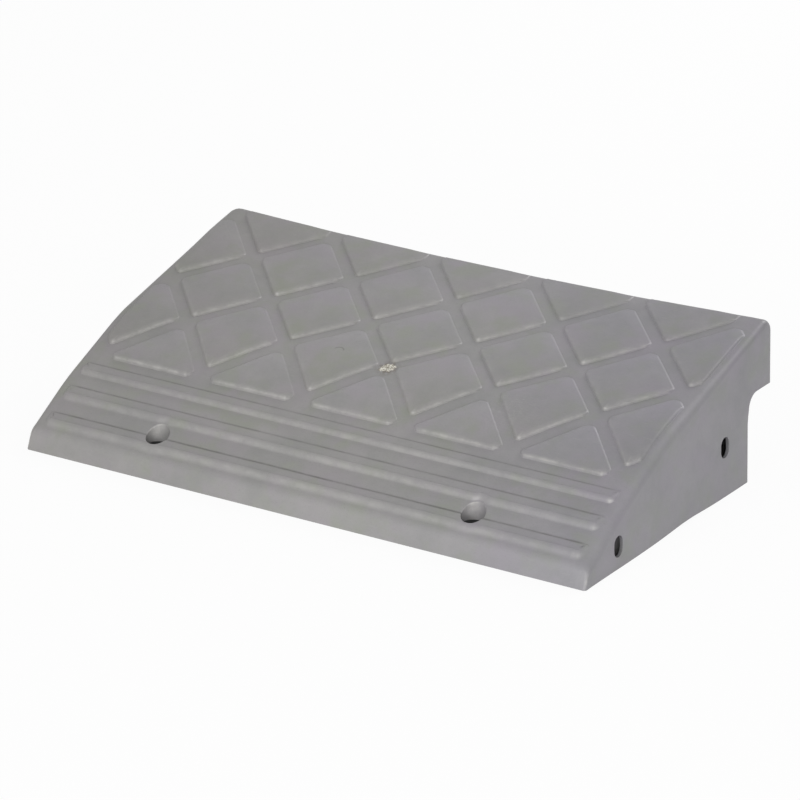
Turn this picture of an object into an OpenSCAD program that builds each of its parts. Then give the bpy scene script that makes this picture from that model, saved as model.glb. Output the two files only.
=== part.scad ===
// Kerb ramp for wheels: a hollow moulded wedge that stands in front of a kerb.
// The toe is at the front (-Y), the lip that lies over the kerb is at the back (+Y).
// The ground is z = 0, and the origin is the middle of the footprint.

/* [Overall] */
// Length along the kerb
length = 600; // [540:1:800]
// Depth of the foot, from the toe to the back wall
base_depth = 292; // [280:1:340]
// How far the lip reaches back over the kerb
lip_reach = 44; // [32:1:60]
// Height of the lip's lower edge, where the kerb fits under it
kerb_height = 83; // [60:1:105]
// Height of the deck's rear corner, before it is rounded
deck_height = 148; // [136:0.5:160]

/* [Deck profile] */
// Horizontal run of the steep toe face
nose_run = 7; // [4:0.5:9]
// Height of the steep toe face
nose_rise = 19; // [15:0.5:24]
// Horizontal run of the lower slope
front_run = 53; // [45:1:60]
// Height gained on the lower slope
front_rise = 33; // [29:0.5:37]
// Horizontal run of the middle slope
mid_run = 84; // [70:1:95]
// Height gained on the middle slope
mid_rise = 39; // [34:0.5:43]
// Rounding of the toe's upper edge
nose_r = 22; // [12:1:24]
// Rounding of the two bends between slopes
bend_r = 240; // [120:5:280]
// Rounding of the rear top edge
rear_r = 11; // [8:0.5:14]

/* [Shell] */
// Wall thickness of the shell
wall = 3; // [2.4:0.1:4]
// Rounding of the edge between the deck and the end walls
edge_r = 6; // [5:0.5:8]
// Rounding of the upright corners at the toe and the rear
corner_r = 4.5; // [4.2:0.1:6]
// Inward lean of the end walls, in degrees
side_draft = 1.5; // [0:0.5:3]
// Inner corner radius of the kerb notch in the end walls
notch_r = 14.5; // [6:0.5:24]
// Depth of the toe strip, from its foot to its seam with the deck
toe_depth = 9; // [6:0.5:10]

/* [Grip ridges] */
// Number of grip ridges across the lower slope
ridge_count = 3; // [1:1:3]
// Distance from the toe to the first ridge's front wall
ridge_first = 12.5; // [11:0.5:14]
// Distance between ridges
ridge_pitch = 25.8; // [20:0.2:27]
// Depth of a ridge, front to back
ridge_w = 12.8; // [8:0.2:16]
// Height of a ridge's front wall
ridge_front_h = 3.7; // [2.5:0.1:5]
// Height of a ridge's rear edge
ridge_rear_h = 1.2; // [0.8:0.1:2]
// Rounding of a ridge's front top edge
ridge_edge_r = 1.5; // [0.5:0.1:2]
// Rounding of a ridge's corners, seen from above
ridge_corner_r = 5; // [1:0.5:6]
// Bare margin between the pattern and each end
side_margin = 12.3; // [11:0.1:20]

/* [Tread pads] */
// Number of pads in the front, middle and rear rows
pad_columns = 5; // [3:1:5]
// Distance from each end to the outermost groove crossing
pattern_margin = 22.2; // [15:0.1:30]
// Distance from the toe to the front row's centre line
front_row = 95; // [93:0.5:100]
// How far the front row reaches in front of its centre line
front_row_cut = 7; // [3:0.5:8]
// Distance from the rear row's centre line to the lip's rear face
rear_row = 20.5; // [18:0.5:26]
// Distance from the pads' rear end to the lip's rear face
pad_rear_gap = 5; // [3:0.5:7]
// Height of a pad above the groove floor
pad_h = 2.7; // [1.5:0.1:4]
// Width of the grooves between pads
groove_w = 12.5; // [8:0.5:16]
// Corner radius of a pad, seen from above
pad_corner_r = 5.5; // [2:0.5:7]
// Diameter of the gate mark on the middle groove crossing
gate_d = 12; // [4:0.5:12]
// Height of the gate mark
gate_h = 0.8; // [0.5:0.1:1.2]

/* [Anchor sockets] */
// Distance between the two anchor sockets
anchor_span = 338.8; // [300:0.4:400]
// Distance from the toe to the anchor sockets
anchor_setback = 27; // [25:0.5:30]
// Diameter of a socket's mouth
mouth_d = 24; // [20:0.5:26]
// Diameter of the bolt hole in a socket's floor
bolt_d = 16; // [8:0.5:18]
// Height of a socket's floor above the ground
socket_floor = 22; // [14:0.5:22]
// Wall thickness of a socket
socket_wall = 3; // [2:0.1:3.4]
// Radius of the collar where the first ridge bulges round a socket
collar_r = 16.5; // [16:0.1:18]

/* [Side slots] */
// Width of a side slot
slot_w = 14.5; // [8:0.5:18]
// Height of a side slot
slot_h = 20; // [19:0.5:26]
// Distance from the toe to the front slots
front_slot = 57; // [52:0.5:62]
// Height of the front slots' centre
front_slot_z = 21; // [15:0.5:24]
// Distance from the rear slots to the back wall's outer face
rear_slot = 44.5; // [30:0.5:55]
// Height of the rear slots' centre
rear_slot_z = 48; // [30:0.5:70]

/* [Underside] */
// Number of ribs that run front to back
rib_count = 9; // [5:2:9]
// Number of rib lines that run along the ramp
cross_rib_count = 3; // [1:1:3]
// Thickness of every rib and web
rib_w = 2.5; // [1.8:0.1:3]

/* [Hidden] */
depth = base_depth + lip_reach;
pad_rows = 5;
arc_steps = 6;
past = 1;
// A rounding's flats cross the faces they meet, and don't just graze them
crossing = 1.005;
$fn = 64;
plastic = [0.57, 0.57, 0.56];
pale_plastic = [0.8, 0.8, 0.77];

// Corners of the deck's profile, as (y, z) from the toe to the rear
bend_1 = [nose_run + front_run, nose_rise + front_rise];
bend_2 = bend_1 + [mid_run, mid_rise];
rear_corner = [depth, deck_height];
deck_corners = [[0, 0], [nose_run, nose_rise], bend_1, bend_2, rear_corner, [depth, 0]];
top_slope = (rear_corner[1] - bend_2[1]) / (rear_corner[0] - bend_2[0]);

// The same corners for the tops of the pads, which end before the rear face
pad_end = depth - pad_rear_gap;
pad_rear_corner = [pad_end, deck_height + pad_h - pad_rear_gap * top_slope];
raise = [0, pad_h];
pad_corners = [raise, deck_corners[1] + raise, bend_1 + raise, bend_2 + raise,
    pad_rear_corner, [pad_end, 0]];

// The pattern's pitches and limits
pattern_x = length / 2 - side_margin;
pad_pitch = (length - 2 * pattern_margin) / pad_columns;
row_pitch = (depth - rear_row - front_row) / (pad_rows - 1);
pad_half_x = pad_pitch / 2 - groove_w / 2 * norm([pad_pitch / 2, row_pitch]) / row_pitch;
pad_half_y = row_pitch - groove_w / 2 * norm([pad_pitch / 2, row_pitch]) / (pad_pitch / 2);
pad_front = front_row - front_row_cut;

// Where the deck stops and the two end walls begin
seam_x = length / 2 - (deck_height + pad_h) * tan(side_draft) - edge_r;
rib_pitch = anchor_span / 6;
socket_r = mouth_d / 2 + socket_wall;

function unit(v) = v / norm(v);
function inward(a, b) = let (u = unit(b - a)) [u[1], -u[0]];

// One corner of an outline turned into an arc, or kept where its radius is 0
function corner_arc(before, p, after, r) =
    let (
        u = unit(before - p),
        v = unit(after - p),
        half = acos(u * v) / 2,
        room = min(norm(before - p), norm(after - p)) / 2,
        fit_r = min(r, room * tan(half)),
        centre = p + unit(u + v) * fit_r / sin(half),
        start = p + u * fit_r / tan(half) - centre,
        from = atan2(start[1], start[0]),
        turn = (180 - 2 * half) * sign(cross(-u, v))
    )
    r <= 0 ? [p] : [for (k = [0:arc_steps])
        let (a = from + turn * k / arc_steps)
        centre + fit_r * [cos(a), sin(a)]];

// A closed outline with one radius for each corner
function rounded(outline, radii) =
    let (n = len(outline))
    [for (i = [0:n - 1]) each corner_arc(outline[(i + n - 1) % n], outline[i],
        outline[(i + 1) % n], radii[i])];

// The part of a closed outline on the inner side of the line direction * p = limit
function clipped(outline, direction, limit) =
    let (n = len(outline))
    [for (i = [0:n - 1])
        let (
            p = outline[i],
            q = outline[(i + 1) % n],
            over_p = direction * p - limit,
            over_q = direction * q - limit
        )
        each concat(over_p <= 0 ? [p] : [],
            over_p * over_q < 0 ? [p + (q - p) * over_p / (over_p - over_q)] : [])];

// A profile set in by a distance, closed along the level z = floor_z
function inset_corner(corners, i, inset) =
    let (
        n1 = inward(corners[i - 1], corners[i]),
        n2 = inward(corners[i], corners[i + 1])
    )
    corners[i] + (n1 + n2) * inset / (1 + n1 * n2);

function profile(corners, inset, floor_z) =
    let (
        up = unit(corners[1] - corners[0]),
        foot = corners[0] + inward(corners[0], corners[1]) * inset,
        start = foot + up * (floor_z - foot[1]) / up[1],
        inner = [for (i = [1:4]) inset_corner(corners, i, inset)],
        end = [corners[5][0] - inset, floor_z]
    )
    rounded(concat([start], inner, [end]),
        [0, nose_r - inset, bend_r - inset, bend_r - inset, rear_r - inset, 0]);

deck_outline = profile(deck_corners, 0, 0);
cavity_outline = profile(deck_corners, wall, -past);
pad_outline = profile(pad_corners, 0, 0);

// Height of the deck's surface at a distance from the toe, and of the lip's seam
function deck_z(y) = lookup(y, deck_outline);
lip_seam_z = deck_outline[len(deck_outline) - 2][1];

// The kerb's space under the lip
notch_outline = rounded([[base_depth, -past], [base_depth, kerb_height],
    [depth + past, kerb_height], [depth + past, -past]], [0, notch_r, 0, 0]);

// Rows of pads: odd rows have a pad on the centre line, even rows stand between them
function pads_in(row) = row % 2 == 1 ? pad_columns : pad_columns + 1;
function pad_x(row, column) = (column - (pads_in(row) + 1) / 2) * pad_pitch;
function pad_y(row) = front_row + (row - 1) * row_pitch;
function rib_x(i) = (i - (rib_count + 1) / 2) * rib_pitch;
function cross_rib_y(i) = base_depth * i / (cross_rib_count + 1);
function end_x(inset) = length / 2 - inset / cos(side_draft);

function diamond(x, y) = [[x, y - pad_half_y], [x + pad_half_x, y],
    [x, y + pad_half_y], [x - pad_half_x, y]];
function half_diamond(x, y) = [[x, y - pad_half_y], [x + pad_half_x, y],
    [x + pad_half_x, pad_end], [x - pad_half_x, pad_end], [x - pad_half_x, y]];
function pad_plan(row, column) =
    let (
        x = pad_x(row, column),
        y = pad_y(row),
        whole = row == pad_rows ? half_diamond(x, y) : diamond(x, y),
        left_cut = clipped(whole, [-1, 0], pattern_x),
        right_cut = clipped(left_cut, [1, 0], pattern_x),
        front_cut = clipped(right_cut, [0, -1], -pad_front)
    )
    rounded(front_cut, [for (p = front_cut) p[1] == pad_end ? 0 : pad_corner_r]);

// Puts a shape drawn from the toe onto the footprint's middle
module seated() {
    translate([0, -depth / 2, 0]) children();
}

// A flat (y, z) shape stretched along the ramp from x0 to x1
module from_side(x0, x1) {
    translate([x0, 0, 0])
        rotate([90, 0, 90])
            linear_extrude(x1 - x0) children();
}

// What a rounding takes off a corner, drawn across the edge: the deck runs to the left
// of the corner, and the wall runs down from it and leans out by an angle
module corner_waste(r, lean) {
    down = [sin(lean), -cos(lean)];
    out = [cos(lean), sin(lean)];
    arc = corner_arc([-4 * r, 0], [0, 0], 4 * r * down, r);
    centre = arc[0] - [0, r];
    flats = [for (p = arc) centre + crossing * (p - centre)];
    polygon(concat(flats, [arc[arc_steps] + r * out, [r, r], arc[0] + [0, r]]));
}

// The same along the edge where one straight part of the profile meets the right end
module edge_waste(i, inset, r) {
    run = unit(deck_corners[i + 1] - deck_corners[i]);
    p = deck_corners[i] + inward(deck_corners[i], deck_corners[i + 1]) * inset;
    slope = atan2(run[1], run[0]);
    translate([end_x(inset) - p[1] * tan(side_draft), p[0], p[1]])
        rotate([slope, 0, 0])
            rotate([0, 0, atan(tan(side_draft) * sin(slope))])
                rotate([90, 0, 0])
                    linear_extrude(2 * length, center = true)
                        corner_waste(r, asin(sin(side_draft) * cos(slope)));
}

// The right end of the wedge from a plane x0 outwards, set in by a distance
module wedge_end(x0, inset, floor_z) {
    difference() {
        intersection() {
            from_side(x0, length / 2) polygon(profile(deck_corners, inset, floor_z));
            translate([end_x(inset), -past, 0])
                rotate([0, -side_draft, 0])
                    translate([-length, 0, -length / 2]) cube([length, depth + 2 * past, length]);
        }
        edge_waste(0, inset, corner_r - inset);
        for (i = [1:3]) edge_waste(i, inset, edge_r - inset);
        edge_waste(4, inset, corner_r - inset);
    }
}

// The outside of both anchor sockets: a cup under the deck and a tube to the ground
module socket_bodies() {
    for (side = [-1, 1]) {
        translate([side * anchor_span / 2, anchor_setback, socket_floor - socket_wall])
            cylinder(h = deck_height, r = socket_r);
        translate([side * anchor_span / 2, anchor_setback, 0])
            cylinder(h = socket_floor, d = bolt_d + 2 * socket_wall);
    }
}

module socket_mouths() {
    for (side = [-1, 1]) {
        translate([side * anchor_span / 2, anchor_setback, socket_floor])
            cylinder(h = deck_height, d = mouth_d);
    }
}

module socket_collars() {
    for (side = [-1, 1]) {
        translate([side * anchor_span / 2, anchor_setback, 0])
            cylinder(h = deck_height, r = collar_r);
    }
}

module slot_shape() {
    reach = (slot_h - slot_w) / 2;
    translate([0, reach]) circle(d = slot_w);
    translate([0, -reach]) circle(d = slot_w);
    square([slot_w, 2 * reach], center = true);
}

module deck() {
    color(plastic) seated() difference() {
        from_side(-seam_x, seam_x) difference() {
            polygon(deck_outline);
            polygon(cavity_outline);
            translate([-past, -past]) square([toe_depth + past, deck_height]);
            translate([depth - 2 * wall, -past]) square([2 * wall + past, lip_seam_z + past]);
        }
        socket_bodies();
    }
}

module toe() {
    color(plastic) seated() difference() {
        from_side(-seam_x, seam_x) intersection() {
            difference() {
                polygon(deck_outline);
                polygon(cavity_outline);
            }
            square([toe_depth, deck_height]);
        }
        socket_bodies();
    }
}

module back_wall() {
    color(plastic) seated() from_side(-seam_x, seam_x)
        translate([base_depth - wall, 0]) square([wall, kerb_height]);
}

// The lip's two walls along the kerb: its rear face, and its root above the kerb
module lip_walls() {
    color(plastic) seated() from_side(-seam_x, seam_x) {
        translate([depth - wall, kerb_height]) square([wall, lip_seam_z - kerb_height]);
        intersection() {
            polygon(cavity_outline);
            translate([base_depth - wall, kerb_height]) square([wall, deck_height]);
        }
    }
}

// The right end wall; the left one is its mirror image
module end_wall() {
    seated() difference() {
        wedge_end(seam_x, 0, 0);
        difference() {
            wedge_end(seam_x - past, wall, -past);
            translate([0, base_depth - wall, -2 * past])
                cube([length, wall, 2 * deck_height]);
        }
        from_side(seam_x - past, length) {
            polygon(notch_outline);
            translate([front_slot, front_slot_z]) slot_shape();
            translate([base_depth - rear_slot, rear_slot_z]) slot_shape();
        }
    }
}

module end_wall_left() {
    color(plastic) mirror([1, 0, 0]) end_wall();
}

module end_wall_right() {
    color(plastic) end_wall();
}

module anchor_socket(side) {
    reach = collar_r - (anchor_setback - ridge_first);
    color(plastic) seated() difference() {
        translate([side * anchor_span / 2, 0, 0]) {
            intersection() {
                translate([-side * anchor_span / 2, 0, 0]) socket_bodies();
                from_side(-collar_r, collar_r) polygon(deck_outline);
            }
            intersection() {
                translate([0, anchor_setback, 0]) cylinder(h = deck_height, r = collar_r);
                from_side(-collar_r, collar_r) ridge_section(1, reach);
            }
        }
        socket_mouths();
        translate([side * anchor_span / 2, anchor_setback, -past])
            cylinder(h = deck_height, d = bolt_d);
    }
}

module gate_mark() {
    color(pale_plastic) seated() intersection() {
        translate([0, pad_y(2), 0]) cylinder(h = 2 * deck_height, d = gate_d);
        from_side(-gate_d, gate_d) difference() {
            translate([0, gate_h]) polygon(deck_outline);
            polygon(deck_outline);
        }
    }
}

// A ridge across its length, with its front wall moved forward by a distance
module ridge_section(i, ahead) {
    y0 = ridge_first + (i - 1) * ridge_pitch - ahead;
    y1 = y0 + ridge_w + ahead;
    tooth = [[y0, 0], [y1, 0], [y1, deck_z(y1) + ridge_rear_h], [y0, deck_z(y0) + ridge_front_h]];
    difference() {
        polygon(rounded(tooth, [0, 0, ridge_rear_h / 2, ridge_edge_r]));
        polygon(deck_outline);
    }
}

module grip_ridge(i) {
    y0 = ridge_first + (i - 1) * ridge_pitch;
    y1 = y0 + ridge_w;
    plan = [[-pattern_x, y0], [pattern_x, y0], [pattern_x, y1], [-pattern_x, y1]];
    color(plastic) seated() difference() {
        intersection() {
            from_side(-pattern_x, pattern_x) ridge_section(i, 0);
            linear_extrude(2 * deck_height)
                polygon(rounded(plan, [ridge_corner_r, ridge_corner_r, 0, 0]));
        }
        socket_mouths();
        if (i == 1) socket_collars();
    }
}

module tread_pad(row, column) {
    x = pad_x(row, column);
    color(plastic) seated() intersection() {
        from_side(x - pad_pitch / 2, x + pad_pitch / 2) difference() {
            polygon(pad_outline);
            polygon(deck_outline);
        }
        linear_extrude(2 * deck_height) polygon(pad_plan(row, column));
    }
}

module long_rib(i) {
    color(plastic) seated() difference() {
        from_side(rib_x(i) - rib_w / 2, rib_x(i) + rib_w / 2) intersection() {
            polygon(cavity_outline);
            square([base_depth - wall, deck_height]);
        }
        socket_bodies();
    }
}

// One rib line along the ramp, in bays between the front-to-back ribs
module cross_rib(i) {
    y0 = cross_rib_y(i) - rib_w / 2;
    last_x = rib_x(rib_count) + rib_w / 2;
    color(plastic) seated() {
        for (bay = [1:rib_count - 1]) {
            x0 = rib_x(bay) + rib_w / 2;
            x1 = rib_x(bay + 1) - rib_w / 2;
            difference() {
                from_side(x0, x1) intersection() {
                    polygon(cavity_outline);
                    translate([y0, 0]) square([rib_w, deck_height]);
                }
                socket_bodies();
            }
        }
        for (side = [0, 1]) {
            mirror([side, 0, 0]) intersection() {
                wedge_end(last_x, wall, -past);
                translate([0, y0, 0]) cube([length, rib_w, deck_height]);
            }
        }
    }
}

module lip_web(i) {
    color(plastic) seated() from_side(rib_x(i) - rib_w / 2, rib_x(i) + rib_w / 2)
        intersection() {
            polygon(cavity_outline);
            translate([base_depth, kerb_height]) square([lip_reach - wall, deck_height]);
        }
}

deck();
toe();
back_wall();
lip_walls();
end_wall_left();
end_wall_right();
anchor_socket(-1);  // anchor_socket_left
anchor_socket(1);  // anchor_socket_right
gate_mark();
for (i = [1:ridge_count]) {
    grip_ridge(i);
}
for (row = [1:pad_rows]) {
    for (column = [1:pads_in(row)]) {
        tread_pad(row, column);
    }
}
for (i = [1:rib_count]) {
    long_rib(i);
}
for (i = [1:cross_rib_count]) {
    cross_rib(i);
}
for (i = [1:rib_count]) {
    lip_web(i);
}
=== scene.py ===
# The looks of the moulded kerb ramp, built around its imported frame.
# Shapes are worked out in millimetres, with y = 0 at the toe, and go into the shared frame
# in metres when their mesh is made.
import math

import bmesh
import bpy
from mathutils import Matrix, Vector, noise


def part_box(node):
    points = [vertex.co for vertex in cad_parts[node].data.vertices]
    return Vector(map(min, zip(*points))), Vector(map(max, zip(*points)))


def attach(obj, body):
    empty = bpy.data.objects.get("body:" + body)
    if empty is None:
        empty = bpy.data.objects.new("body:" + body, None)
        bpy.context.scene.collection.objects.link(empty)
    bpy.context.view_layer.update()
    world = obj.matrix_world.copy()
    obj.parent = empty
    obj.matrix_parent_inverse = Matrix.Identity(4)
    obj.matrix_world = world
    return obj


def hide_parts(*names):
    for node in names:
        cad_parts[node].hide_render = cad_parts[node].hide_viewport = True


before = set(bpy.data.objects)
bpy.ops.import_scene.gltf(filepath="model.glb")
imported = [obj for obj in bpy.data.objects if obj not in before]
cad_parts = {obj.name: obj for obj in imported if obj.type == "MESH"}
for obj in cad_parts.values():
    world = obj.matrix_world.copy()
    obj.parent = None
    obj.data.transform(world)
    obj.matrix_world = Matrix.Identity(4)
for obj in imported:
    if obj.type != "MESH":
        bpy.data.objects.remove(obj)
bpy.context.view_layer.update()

MM = 0.001

# Driving sizes of the moulding, the same as in the part
LENGTH = 600.0
BASE_DEPTH = 292.0
DEPTH = 336.0
KERB_HEIGHT = 83.0
WALL = 3.0
SIDE_DRAFT = math.radians(1.5)
# The section's corners from the toe's foot over the top to the rear's foot, and the radii of
# the bends at those between the first and the last
CORNERS = [(0.0, 0.0), (7.0, 19.0), (60.0, 52.0), (144.0, 91.0), (336.0, 148.0), (336.0, 0.0)]
BEND_RADII = [17.0, 240.0, 240.0, 11.0]
BEND_STEPS = 10
NOTCH_R = 14.5
NOTCH_STEPS = 12

# Radii of the rounded ends, as (left, right), and where one passes into the next
TOE_CORNER_R = (4.0, 2.8)
TOE_TO_DECK = (4.0, 12.0)
DECK_EDGE_R = (6.0, 9.0)
DECK_TO_TOP = (150.0, 260.0)
TOP_EDGE_R = (11.5, 5.5)
TOP_TO_REAR = (DEPTH - BEND_RADII[3], DEPTH)
REAR_CORNER_R = (8.5, 5.5)
# How much more the rear left end is rounded outside, and where that sets in
REAR_LEFT_MORE = 4.0
TOP_TO_REAR_LEFT = (DEPTH - 45.0, DEPTH - 10.0)
LEAST_END_R = 0.4
# The upright rear corners' radius, and the shares of it that are left at some heights
FOOT_CORNER_R = 2.8
FOOT_CORNER_FADE = [(-2.0, 1.0), (56.0, 1.0), (63.0, 0.6), (69.0, 0.02)]
FOOT_CORNER_STEPS = 6

# How finely the shell is divided along its section, round its ends and along the ramp
SECTION_STEP = 12.0
END_STEPS = 7
HALF_STATIONS = 24
# The same for the rounded corners of pads and ridges, seen from above
ROUND_STEPS = 7

# How far cutters run past what they cut, and how high they reach
PAST = 9.0
CAVITY_FLOOR = -5.0
SLAB_TOP = 200.0
HOLE_TOP = 90.0

# The right end wall's wavy lower edge: its y from and to, and how far the wave cuts in
WAVE_SPAN = (3.0, 289.0)
WAVE_YS = range(285, 6, -3)
WAVE_IN = 6.0
WAVE_FLAT = 0.01
# The wave's lift all along, its hump's height, place and width, and its ripples
WAVE_LIFT = 0.14
HUMP_H = 2.3
HUMP_Y = 180
HUMP_WIDTH = 38
RIPPLE_H = 0.1
RIPPLE_RUN = 17

SIDE_MARGIN = 12.3
PATTERN_X = LENGTH / 2 - SIDE_MARGIN
# Where each grip ridge's front edge and its rear crease lie at the right end, and how much
# further back they lie at the left end
RIDGE_FRONT = [13.0, 39.4, 66.4]
RIDGE_BACK = [25.3, 52.2, 79.4]
RIDGE_TILT = [0.3, 1.2, 1.4]
RIDGE_FRONT_H = 3.7
RIDGE_REAR_H = 1.2
RIDGE_CORNER_R = 5.0
RIDGE_REAR_CORNER_R = 0.6
RIDGE_EDGE_R = [4.4, 3.8, 3.0]
RIDGE_FOOT_R = [3.0, 1.5, 0.8]
RIDGE_SPACING = 3.0
RIDGE_REAR_SHARPER = 0.88
# How close to the front edge, as a share, an outline's point belongs to it, and how far and
# how wide the first ridge stands out before the sockets
FRONT_SHARE = 0.05
BULGE = 1.0
BULGE_WIDTH = 10
# How far the line that the ridge's top closes on stays off its ends
RIDGE_SPINE_IN = 6.5
# The narrow crease behind a ridge, as (y, z) from the ridge's rear on the deck, how far it
# stays off the ridge's ends, and how much painted shade darkens each crease
CREASE = [(-0.3, 2.0), (-0.1, -1.6), (0.4, -1.6), (1.0, 2.0)]
CREASE_IN = 2.0
CREASE_SHADE = [0.7, 0.45, 0.45]

PAD_COLUMNS = 5
PAD_ROWS = 5
PATTERN_MARGIN = 22.2
FRONT_ROW = 95.0
FRONT_ROW_CUT = 4.0
# How far the front right edges of a row's pads stand back
EDGE_BACK = {1: 2.0, 2: 1.8, 3: 0.8, 4: 0.2, 5: 0.0}
# How far the pads' other edges stand out, by the way that they face
EDGE_OUT = {(1, 1): 1.4, (-1, 1): 0.3, (-1, -1): -0.5}
REAR_ROW = DEPTH - 20.5
PAD_END = DEPTH - 5.0
PAD_H = 2.7
PAD_TOP = 145.3
# Pads fade out where the deck rounds over into the lip
PAD_FADE = (DEPTH - 16.0, DEPTH - 6.0)
GROOVE_W = 12.5
PAD_CORNER_R = 5.5
PAD_END_CORNER_R = 0.5
PAD_EDGE_R = 1.7
PAD_FOOT_R = 0.6
PAD_SPACING = 4.0
# How much lower pads are towards their rear right edge, where that sets in and ends, as shares
# of their half sizes, and how much softer that edge and their side edges are
PAD_LOWER = 0.6
PAD_LOWER_FROM = (0.65, 1.05)
REAR_RIGHT_SOFTER = 1.2
SIDE_SOFTER = 0.5

PAD_PITCH = (LENGTH - 2 * PATTERN_MARGIN) / PAD_COLUMNS
ROW_PITCH = (REAR_ROW - FRONT_ROW) / (PAD_ROWS - 1)
SLANT = math.hypot(PAD_PITCH / 2, ROW_PITCH)
PAD_HALF_X = PAD_PITCH / 2 - GROOVE_W / 2 * SLANT / ROW_PITCH
PAD_HALF_Y = ROW_PITCH - GROOVE_W / 2 * SLANT / (PAD_PITCH / 2)

# How raised pieces are built up: steps of their foot's and edge's arcs, rings over their top,
# how deep and how far in their skirt goes, and limits that keep the arcs sound
ARC_STEPS = 4
FILL_RINGS = 6
SKIRT_DEPTH = 1.0
SKIRT_IN = 0.8
LEAST_RISE = 0.05
MOST_BEND = 0.97

# Painted highlight on the edges of pads and ridges: how pale each edge is painted, from foot to
# top, and how far the painted highlight runs on over the top
PAD_HIGHLIGHT = [0.35, 0.55, 0.9, 0.9, 0.5]
RIDGE_HIGHLIGHT = [0.9, 1.0, 0.7, 0.25, 0.0]
HIGHLIGHT_REACH = 3.6
# The way that the painted glints face, as (x, y)
GLINT_WAY = (0.3, -0.95)
# How much highlight an edge is painted for facing that way roughly, and how much more for facing
# it squarely
GLINT_SHARES = (0.35, 0.65)
# What is left of that on the rear row's pads, and how much painted light the rear left and
# front left edges of pads get besides, lifting their shade
LAST_ROW_HIGHLIGHT = 0.4
LEFT_PAINTED_LIGHT = (0.12, 0.08)
# A ridge's painted highlight at its middle, how much less it is at its ends, and the painted
# glint and length of its right end
RIDGE_MIDDLE_HIGHLIGHT = 0.42
RIDGE_END_LESS = 0.3
RIDGE_RIGHT_GLINT = 0.8
RIDGE_RIGHT_END = 8
# Painted glints on the toe's upright corners: how strong they are, the way they face, and where
# they set in and end
TOE_GLINT = 0.8
TOE_GLINT_WAY = (0.55, -0.8)
TOE_GLINT_X = (292.0, 296.0)
TOE_GLINT_Y = (6.0, 16.0)

ANCHOR_X = 169.4
ANCHOR_Y = 27.0
# The mouths lie a little behind the bolt holes
MOUTH_Y = 28.4
MOUTH_R = 11.1
RIM_R = 0.9
RIM_STEPS = 5
BOLT_R = 8.0
BOLT_EDGE = 0.5
SOCKET_FLOOR = 22.0
SOCKET_WALL = 3.0
SOCKET_FOOT_R = 0.8
SOCKET_STEPS = 96
# How far under the deck's surface the socket's outer wall starts
SOCKET_DOWN = 1.2
# The painted highlight on the socket's rim and floor
SOCKET_HIGHLIGHT = {"top": 0.7, "floor": 0.3}
# The second ridge keeps out of this radius
SOCKET_CLEAR_R = 13.0
HOLE_STEPS = 72

SLOT_W = 14.5
SLOT_H = 20.0
SLOTS = [(57.0, 21.0), (247.5, 48.0)]
# How far in from the ramp's end their cutters reach
SLOT_IN = 15.0
SLOT_STEPS = 20

GATE = (0.0, FRONT_ROW + ROW_PITCH + 2.4)
# The stub's rings from its foot to its middle, as (radius, height)
STUB_RINGS = [(4.4, -0.3), (4.2, 0.2), (3.7, 0.8), (3.1, 0.9), (2.5, 1.0), (1.9, 0.9),
              (1.3, 1.0), (0.7, 0.9), (0.0, 0.9)]
STUB_STEPS = 48

# The rear of the deck has sunk between its stiff ends as the moulding cooled
SAG = 6.4
SAG_LIFT = 0.45
SAG_SPAN = (150.0, 330.0)
# How far left of the middle it is deepest, as a share of half the length, and how it bends
SAG_OFF_MIDDLE = 0.03
SAG_BEND_ACROSS = 2.2
SAG_BEND_ALONG = 1.6
# Ribs are cut into stretches of about this many metres to follow it
RIB_STEP = 0.02

# Angles, in degrees, from which an edge is shown sharp
SHELL_SHARP = 32
RAISED_SHARP = 50
SOCKET_SHARP = 40
RIB_SHARP = 30
STUB_SHARP = 30

# The camera, solved from the photograph's perspective at an 800 pixel frame
CAMERA_AT = (2.0358, -3.1629, 1.5371)
CAMERA_AZIMUTH = 32.723
CAMERA_ELEVATION = 21.482
CAMERA_REACH = 50
FOCAL_PIXELS = 4414.7
FRAME_PIXELS = 800
SENSOR_MM = 36.0

# Square lamps, as name: (place, watts)
LAMP_SIZE = 1.6
LAMPS = {"front": ((0.0, -3.3, 1.2), 40), "side": ((2.4, -2.4, 0.75), 27),
         "back": ((0.6, 2.7, 2.2), 41)}
WORLD_LIGHT = 0.5

FLOOR_HALF = 20.0
FLOOR_Z = -0.0003
FLOOR_GLOW = 0.93
FLOOR_GREY = 0.9
# Painted shadow: the floor under the ramp is painted near black, standing in for the shade seen
# through the bolt holes: half sizes and middle, in metres
FOOTPRINT = (0.29, 0.135)
FOOTPRINT_Y = -0.015
FOOTPRINT_SHADE = 0.02

# Colours as 0 to 255 screen values
GREY = [(144, 143, 143), (151, 149, 149)]
VIOLET = (150, 145, 150)
OLIVE = (144, 146, 138)
SPECK = (130, 130, 128)
SCUFF = (162, 162, 160)
SCRATCH = (166, 166, 165)
SMUDGE = (112, 110, 108)
# The darker colour painted into the creases, standing in for the shade in them
CREASE_SHADE_COLOUR = (108, 107, 105)
HALO = (112, 104, 92)
# The pale colour of the painted highlights and glints on edges
HIGHLIGHT_COLOUR = (184, 182, 179)
# The near black painted into the sockets' floor rings and bolt holes, standing in for the shade
# down them
HOLE_SHADE_COLOUR = (30, 30, 30)
STUB = [(196, 192, 180), (232, 230, 220)]
STUB_DIRT = (112, 100, 84)

# Tints that multiply the plastic's colour, from one end of their range to the other
PATCHY = [(0.965, 0.97, 0.965), (1.035, 1.03, 1.035)]
LEFT_TO_RIGHT = [(1.0, 1.0, 0.97), (0.997, 0.994, 1.055)]
WARM = [(1.0, 1.0, 1.0), (1.0, 1.006, 0.966)]
# A painted sheen: pads paler and bluer towards the rear left, darker and warmer towards the front
# right
PAINTED_SHEEN = [(0.955, 0.957, 0.925), (1.05, 1.043, 1.09)]

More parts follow.
